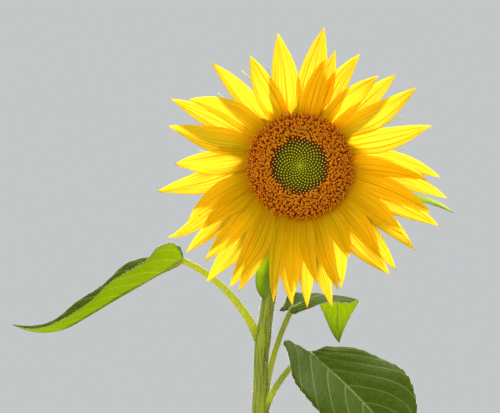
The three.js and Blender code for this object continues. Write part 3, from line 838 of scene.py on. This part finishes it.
def stigma_shape():
    """A style's two branches, which curl apart."""
    path = [(0.08, 0, 0), (0.12, 0, 0.5), (0.4, 0, 0.88), (0.78, 0, 0.84), (0.9, 0, 0.5)]
    radii = [0.14, 0.18, 0.21, 0.2, 0.08]
    bm = lay_limb(spine_of([Vector(spot) for spot in path], radii, Vector((0, 1, 0))), 4)
    copied = bmesh.ops.duplicate(bm, geom=[*bm.verts, *bm.edges, *bm.faces])["geom"]
    verts = [part for part in copied if isinstance(part, bmesh.types.BMVert)]
    bmesh.ops.rotate(bm, cent=(0, 0, 0), matrix=Matrix.Rotation(pi, 3, "Z"), verts=verts)
    return shape_arrays(bm)


def scale_shape():
    """A pointed chaffy scale, one unit tall and bent outwards a little."""
    points = [Vector(spot) for spot in ((0, 0, 0), (0, 0, 0.4), (0.06, 0, 0.75), (0.2, 0, 1))]
    return shape_arrays(lay_limb(spine_of(points, [0.5, 0.42, 0.2, 0.04], Vector((1, 0, 0))), 4))


def make_bed():
    outline = [(r, bed_height(r) - BED_SUNK) for r in np.linspace(0, BED_RADIUS, BED_RINGS)]
    outline += [(BED_RADIUS - BED_FLOOR, BED_FLOOR), (0, BED_FLOOR)]
    bed = turned(outline, BED_STEPS)
    to_head = HEAD.inverted()
    for face in bed.faces:
        middle = to_head @ face.calc_center_median()
        radius = hypot(middle.x, middle.y)
        face.material_index = 1 if radius < GREEN_BED_END else 2 if radius < BUDS_END else 0
    # The bed's dark tints are painted shade, for the gaps between the florets and the buds
    new_piece("disc_bed", bed, ["floret bed", "bud bed", "bud bed at the rim"], ["disc_florets"])


def make_disc():
    make_bed()
    rng = random.Random(5)
    buds, closed, florets, stigmas, scales = [], [], [], [], []

    def stand(group, spot, direction, turn, width, height, wear):
        group.append((HEAD @ standing(spot, direction, turn, width, height), wear))

    for n in range(BUDS + FLORETS):
        if n < BUDS:
            radius = BUD_REACH * ((n + 0.5) / BUDS) ** BUD_CROWDING
        else:
            radius = sqrt(lerp(BUD_REACH**2, FLORET_REACH**2, (n - BUDS + 0.5) / FLORETS))
        zone = vary(rng, radius, ZONE_STRAY)
        outwards = towards(radians(FLORET_TURN) * n)
        slope = (bed_height(radius + 1) - bed_height(radius - 1)) / 2
        spot = outwards * radius + UP * (bed_height(radius) - ROOTS_SUNK)
        lean = (UP - outwards * slope * 0.6).normalized()
        spin = rng.uniform(0, tau)
        if zone < BUDS_END:
            width, height = (lerp(*ends, radius / BUD_RADIUS) for ends in (BUD_WIDTHS, BUD_HEIGHTS))
            green = radius < vary(rng, GREEN_BUDS_END, GREEN_STRAY)
            stand(buds, spot, lean, spin, width, height, 0 if green else 2 if zone < OLIVE_BUDS_END else 4)
            continue
        sway = Vector((vary(rng, 0, 0.2), vary(rng, 0, 0.2), 0))
        tilt = (lean + sway + outwards * FLORET_SPLAY * smoothstep(radius, 37, 42)).normalized()
        if zone < CLOSED_END:
            stand(closed, spot, tilt, spin, 1.1, vary(rng, *CLOSED_HEIGHT), rng.choice((0, 0, 1)))
            if rng.random() < 0.4:
                stand(stigmas, spot + tilt * 3.2, tilt, spin, 1.1, 1.8, 0)
            continue
        tall = vary(rng, *FLORET_HEIGHT)
        width = vary(rng, *FLORET_WIDTH)
        inner = zone < INNER_FLORETS_END
        wear = 4 if inner and rng.random() < 0.75 else 0 if rng.random() < 0.55 else 2
        stand(florets, spot, tilt, spin, width, tall, wear)
        stray = Vector((vary(rng, 0, 0.3), vary(rng, 0, 0.3), 0))
        throat, facing = spot + tilt * (tall + 0.2), (tilt + stray).normalized()
        width, height = 0.95 if inner else 1.15, 1.4 + rng.uniform(-0.4, 0.5)
        stand(stigmas, throat, facing, spin, width, height, rng.choice((0, 0, 1)))

    for i in range(RIM_SCALES):
        outwards = towards(vary(rng, tau * i / RIM_SCALES, 0.05))
        spot = outwards * rng.uniform(41.2, 42.6) + UP * rng.uniform(0, 1.5)
        lean = (UP + outwards * rng.uniform(0.7, 1.7)).normalized()
        spin, width, height = rng.uniform(0, 6), rng.uniform(0.7, 1.1), rng.uniform(3, 5.2)
        scales.append(HEAD @ standing(spot, lean, spin, width, height))
    scales = [(scale, rng.choice((0, 1, 1))) for scale in scales]

    # A bud's sides wear the darker tints, painted shade between the crowded buds
    tints = ["bud side", "green bud", "bud side", "olive bud", "bud bed at the rim", "golden bud tip"]
    joined_copies("disc_buds_closed", bud_shape(), buds, tints, ["disc_buds"])
    tints = ["corolla lobe", "corolla throat"]
    joined_copies("disc_florets_closed", closed_floret_shape(), closed, tints)
    lobes = ("corolla lobe", "darker corolla lobe", "bright corolla lobe")
    tints = [tint for lobe in lobes for tint in (lobe, "corolla throat")]
    joined_copies("disc_florets_open", floret_shape(), florets, tints)
    joined_copies("disc_stigmas", stigma_shape(), stigmas, ["stigma", "bright corolla lobe"])
    tints = ["floret bed", "darker corolla lobe"]
    joined_copies("disc_rim_scales", scale_shape(), scales, tints)


# Leaves


def lower_leaf(step):
    swell = sin(pi * (step + 3) / (LOWER_LEAVES + 4))
    length = SHORTEST_BLADE + BLADE_SWELL * swell
    droop = OLDEST_DROOP * step / LOWER_LEAVES
    *rises, tip_rise = [rise + RISE_STRAY * scatter(step, 3 + i) for i, rise in enumerate(LOWER_RISES)]
    return Leaf(
        height=LOWER_TOP - INTERNODE * step**INTERNODE_GROWTH + 5 * scatter(step, 1),
        heading=TOP_LEAVES[-1].heading - LEAF_TURN * (step + 1) + 7 * scatter(step, 2),
        stalk=length * STALK_TO_LENGTH,
        blade=length,
        width=length * WIDTH_TO_LENGTH,
        rises=(*[rise - droop for rise in rises], tip_rise),
        fold=15 + 5 * scatter(step, 8),
        roll=10 * scatter(step, 9),
        twist=0,
        veer=14 * scatter(step, 10),
        widest=0.24, foot=0.66, fullness=1.45, lobe=0.16, skew=0,
    )


LeafJoint = namedtuple("LeafJoint", "point direction side top")


def leaf_line(leaf):
    """The line that a leaf grows along, from inside the stem to its tip."""
    stride = (leaf.stalk + leaf.blade) / LINE_STEPS
    at_stem, at_foot, past_foot, at_two_thirds, at_tip = leaf.rises
    heading = radians(leaf.heading)
    point = stem_centre(leaf.height) + towards(heading) * 0.6 * stem_value(leaf.height, 3)
    joints = []
    for i in range(LINE_STEPS + 1):
        travelled = i * stride - leaf.stalk
        t = travelled / leaf.blade
        rise = lerp(at_stem, at_foot, clamp(1 + travelled / leaf.stalk))
        rise = lerp(rise, past_foot, smoothstep(t, 0, PAST_FOOT))
        rise = lerp(rise, at_two_thirds, clamp((t - PAST_FOOT) / (TWO_THIRDS - PAST_FOOT)))
        rise = lerp(rise, at_tip, clamp((t - TWO_THIRDS) / (1 - TWO_THIRDS)))
        turn = heading + radians(leaf.veer) * clamp(t)
        roll = leaf.roll * smoothstep(travelled, -0.7 * leaf.stalk, 0)
        roll += leaf.twist * smoothstep(t, 0.08, 0.35)
        direction = towards(turn) * cos(radians(rise)) + UP * sin(radians(rise))
        side = Quaternion(direction, radians(roll)) @ Vector((sin(turn), -cos(turn), 0))
        if i:
            point = point + direction * stride
        joints.append(LeafJoint(point, direction, side, side.cross(direction)))
    return joints


def joint_at(line, leaf, distance):
    """The leaf's line at a distance past the blade's foot, which is negative on the stalk."""
    place = (distance + leaf.stalk) / (leaf.stalk + leaf.blade) * (len(line) - 1)
    i = int(clamp(round(place), 0, len(line) - 1))
    stride = (leaf.stalk + leaf.blade) / (len(line) - 1)
    joint = line[i]
    return joint._replace(point=joint.point + joint.direction * (place - i) * stride)


def leaf_outline(leaf, v):
    """The blade's width at v, as a share of its full width."""
    swell = lerp(leaf.foot, 1, sin(pi / 2 * min(v / leaf.widest, 1)))
    taper = 1 - clamp((v - leaf.widest) / (1 - leaf.widest)) ** leaf.fullness
    return max(swell * taper, 0.008)


def make_blade(leaf, line, number):
    """Makes a leaf's blade, and gives its two margins as rows of points."""
    fold = radians(leaf.fold)
    lean = joint_at(line, leaf, 0.1 * leaf.blade).direction
    pairs = VEIN_PAIRS * sqrt(leaf.blade / leaf.width)
    sweep = VEIN_REACH * leaf.width / leaf.blade

    def rung_at(u, v):
        """How many side veins lie between this spot and the blade's foot: whole on a vein."""
        return (v - sweep * abs(u) ** (MIDRIB_CROWDING * VEIN_SWEEP)) * pairs - VEIN_START

    def place(u, v):
        out = abs(u) ** MIDRIB_CROWDING
        reach_back = (leaf.lobe + leaf.skew * copysign(1, u)) * leaf.blade if u else 0
        lobe = reach_back * sin(0.72 * pi * out) * (1 - v) ** 3
        saw = 1 - (v * TEETH) % 1
        tooth = 1 + TOOTH_DEPTH * (saw - 0.5) * smoothstep(out, 0.8, 1)
        half = leaf.width / 2 * leaf_outline(leaf, v) * out * tooth
        joint = joint_at(line, leaf, lerp(GAP, leaf.blade, v))
        lie = joint_at(line, leaf, max(v, 0.05) * leaf.blade)
        quilt = abs(sin(pi * rung_at(u, v))) * sin(pi * out) * (1 - v) ** 0.5
        quilt *= QUILT_HEIGHT * leaf.blade / pairs
        phase = tau * (WAVES * v + 0.3 * number) + (1.5 if u > 0 else 0)
        wave = WAVE_HEIGHT * leaf.blade * out * out * sin(phase)
        lift = half * sin(fold) - 0.12 * half * out + quilt + wave * smoothstep(v, 0, 0.15) * (1 - v)
        return joint.point - lean * lobe + lie.side * copysign(half * cos(fold), u) + lie.top * lift

    bm = bmesh.new()
    lay_sheet(bm, BLADE_CELLS, place, rung_at)
    skins = ["leaf upper skin", "leaf under skin"]
    blade = new_piece(f"blade_{number:02d}", bm, skins, [f"leaf_{number:02d}"])
    thicken(blade, BLADE_SKIN, under_material=1)
    return [[place(side, i / MARGIN_STEPS) for i in range(1, MARGIN_STEPS)] for side in (-1, 1)]


def make_stalk(leaf, line, number):
    """Makes a leaf's stalk, which runs on under the blade as a midrib, and gives its spine."""
    radii = [share * leaf.blade + STALK_CORE for share in STALK_RADII]
    spine = []
    for i in range(STALK_RINGS + 1):
        distance = lerp(-leaf.stalk, MIDRIB_END * leaf.blade, i / STALK_RINGS)
        joint = joint_at(line, leaf, distance)
        t = distance / leaf.blade
        radius = along(radii, 1 + distance / leaf.stalk) if t < 0 else radii[-1] * (1 - t / 0.95) ** 0.8
        radius *= lerp(1, 0.3, smoothstep(t, 0, 0.16))
        sunk = 0.75 * radius * smoothstep(t, 0, 0.12)
        radius = max(radius, THINNEST_MIDRIB)
        spine.append(Joint(joint.point - joint.top * sunk, joint.direction, joint.side, radius))

    def channel(angle, share):
        """A furrow along the stalk's upper side, at a quarter turn back from its side."""
        return -CHANNEL_DEPTH * leaf.blade * exp(-(((angle - pi / 2) / CHANNEL_WIDTH) ** 2))

    bm = lay_limb(spine, STALK_SIDES, channel)
    new_piece(f"stalk_skin_{number:02d}", bm, ["leaf stalk skin"], [f"stalk_{number:02d}"])
    return spine


# Stem, neck and hairs


def stem_spine():
    top = STEM_STATIONS[-1][0]
    heights = [top * (i / STEM_RINGS) ** FLARE_CROWDING for i in range(STEM_RINGS + 1)]
    radii = [stem_value(height, 3) for height in heights]
    stem = spine_of([stem_centre(h) for h in heights], radii, Vector((1, 0, 0)), UP)
    foot = stem[-1]
    start = foot.point + foot.direction * GAP
    end = HEAD_CENTRE - HEAD_AXIS * (RECEPTACLE_DEPTH + GAP)
    handles = [start, start + foot.direction * NECK_REACH_UP, end - HEAD_AXIS * NECK_REACH_BACK, end]
    points, neck_radii = [], []
    for i in range(1, NECK_RINGS + 1):
        t = i / NECK_RINGS
        weights = ((1 - t) ** 3, 3 * t * (1 - t) ** 2, 3 * t * t * (1 - t), t**3)
        points.append(sum((w * h for w, h in zip(weights, handles)), Vector()))
        neck_radii.append(lerp(foot.radius, RECEPTACLE_FOOT, smoothstep(t, NECK_FLARE_FROM, 1)))
    return stem + spine_of(points, neck_radii, foot.side, None, HEAD_AXIS)


def make_stem(leaves):
    spine = stem_spine()
    last = len(spine) - 1

    def relief(angle, share):
        height = spine[round(share * last)].point.z
        rib = RIB_HEIGHT * cos(STEM_RIBS * angle) * smoothstep(height, 0, RIBS_FULL_AT)
        swell = sum(exp(-(((height - leaf.height) / NODE_SPREAD) ** 2)) for leaf in leaves)
        return rib + NODE_SWELL * min(swell, 1)

    new_piece("stem_skin", lay_limb(spine, STEM_SIDES, relief), ["stem skin"], ["stem", "neck"])
    return spine


def hair_shape():
    bm = bmesh.new()
    bmesh.ops.create_cone(bm, cap_ends=True, segments=3, radius1=1, radius2=0.12, depth=1)
    bmesh.ops.translate(bm, vec=(0, 0, 0.5), verts=bm.verts)
    return shape_arrays(bm)


def strayed(rng, direction, stray):
    return (direction + stray * Vector([rng.uniform(-1, 1) for _ in range(3)])).normalized()


def hairs_on(spine, count, length, rng):
    """Hairs that stand out of a limb, spread evenly but three times as thick on the plant's young top."""
    weights = [
        (b.point - a.point).length * a.radius * (1 + 2 * smoothstep(a.point.z, *YOUNG_SKIN))
        for a, b in zip(spine, spine[1:])
    ]
    hairs = []
    for i in rng.choices(range(len(weights)), weights=weights, k=count):
        a, b, share = spine[i], spine[i + 1], rng.random()
        angle = rng.uniform(0, tau)
        out = cos(angle) * a.side + sin(angle) * a.direction.cross(a.side)
        point = a.point.lerp(b.point, share) + out * (lerp(a.radius, b.radius, share) - 0.1)
        if point.z < BARE_FOOT:
            continue
        lean = strayed(rng, out, 0.45)
        hairs.append((standing(point, lean, 0, HAIR_RADIUS, length * rng.uniform(*HAIR_LENGTHS)), 0))
    return hairs


def margin_hairs(margin, rng):
    """Hairs that stand out of a leaf's margin, some on each stretch between two of its points."""
    middle = sum(margin, Vector()) / len(margin)
    hairs = []
    for a, b in zip(margin, margin[1:]):
        run = (b - a).normalized()
        out = a - middle
        out = (out - run * out.dot(run)).normalized()
        for _ in range(MARGIN_HAIRS):
            lean = strayed(rng, out, 0.5)
            foot = a.lerp(b, rng.random())
            length = MARGIN_HAIR * rng.uniform(*MARGIN_HAIR_LENGTHS)
            hairs.append((standing(foot, lean, 0, MARGIN_HAIR_RADIUS, length), 0))
    return hairs


def make_hairs(stem, stalks, margins):
    rng = random.Random(11)
    shape = hair_shape()
    joined_copies("stem_hairs", shape, hairs_on(stem, STEM_HAIRS, STEM_HAIR, rng), ["plant hair"])
    on_stalks, on_margins = [], []
    for number, stalk in enumerate(stalks):
        count = TOP_STALK_HAIRS if number < len(TOP_LEAVES) else STALK_HAIRS
        on_stalks += hairs_on(stalk, count, STALK_HAIR, rng)
        for margin in margins[number]:
            on_margins += margin_hairs(margin, rng)
    joined_copies("stalk_hairs", shape, on_stalks, ["plant hair"])
    joined_copies("leaf_margin_hairs", shape, on_margins, ["plant hair"])


# Room, lights and camera, in metres

FLOOR_RADIUS = 11
FLOOR_SIDES = 96
BEHIND_THE_HEAD = (0.7, 2.15, 3.85)
BEFORE_THE_HEAD = (-1.6, -3.2, 2.0)
FRAME_WIDTH, FOCAL_LENGTH = 500, 2195  # in pixels
CAMERA_PLACE = Vector((-1.4, -1855, 1266.5)) * MM
FARTHEST = 100


def make_room():
    skin = new_material("plain floor", 0.9, 0.0)[1]
    skin.inputs["Base Color"].default_value = linear("#828486")
    bm = bmesh.new()
    bmesh.ops.create_circle(bm, cap_ends=True, segments=FLOOR_SIDES, radius=FLOOR_RADIUS)
    mesh = bpy.data.meshes.new("floor")
    bm.to_mesh(mesh)
    bm.free()
    mesh.materials.append(bpy.data.materials["plain floor"])
    put("floor", mesh)
    world = bpy.data.worlds.new("pale studio")
    world.use_nodes = True
    background = world.node_tree.nodes["Background"]
    background.inputs["Color"].default_value = linear("#d9dcdc")
    background.inputs["Strength"].default_value = 0.8
    bpy.context.scene.world = world


def add_light(name, kind, place, strength, colour, **settings):
    """Adds a light that shines at the flower head."""
    data = bpy.data.lights.new(name, kind)
    data.energy = strength
    data.color = linear(colour)[:3]
    for setting, value in settings.items():
        setattr(data, setting, value)
    lamp = put(name, data)
    lamp.location = place
    lamp.rotation_euler = (HEAD_CENTRE * MM - Vector(place)).to_track_quat("-Z", "Y").to_euler()
    lamp.visible_camera = False


def make_camera():
    data = bpy.data.cameras.new("camera")
    data.lens = data.sensor_width * FOCAL_LENGTH / FRAME_WIDTH
    data.clip_end = FARTHEST
    camera = put("camera", data)
    camera.location = CAMERA_PLACE
    camera.rotation_euler = (pi / 2, 0, 0)
    bpy.context.scene.camera = camera
    bpy.context.scene.view_settings.view_transform = "Standard"


def main():
    make_camera()
    make_room()
    add_light("high light from behind", "SUN", BEHIND_THE_HEAD, 9.7, "#fff8ea", angle=radians(8))
    add_light("wide fill from the front", "AREA", BEFORE_THE_HEAD, 88, "#ffffff", size=2.4)
    make_materials()
    leaves = TOP_LEAVES + [lower_leaf(step) for step in range(LOWER_LEAVES)]
    stem = make_stem(leaves)
    stalks, margins = [], []
    for number, leaf in enumerate(leaves, 1):
        line = leaf_line(leaf)
        margins.append(make_blade(leaf, line, number))
        stalks.append(make_stalk(leaf, line, number))
    make_hairs(stem, stalks, margins)
    make_receptacle()
    half_turn = 180 / BRACTS
    bract_series("bract_scales_outer", "bracts_outer", -12.4, 26, BRACT_TURN, LEAFY_BRACTS, seed=40)
    bract_series("bract_scales_inner", "bracts_inner", -8.9, 13, BRACT_TURN + half_turn, [], seed=70)
    ray_rank("ray_florets_back", "rays_back", BACK_RAYS, depth=-5.2, rise=2, fall=4, seed=0)
    ray_rank("ray_florets_front", "rays_front", FRONT_RAYS, depth=-1.9, rise=8, fall=2, seed=100)
    make_disc()


main()
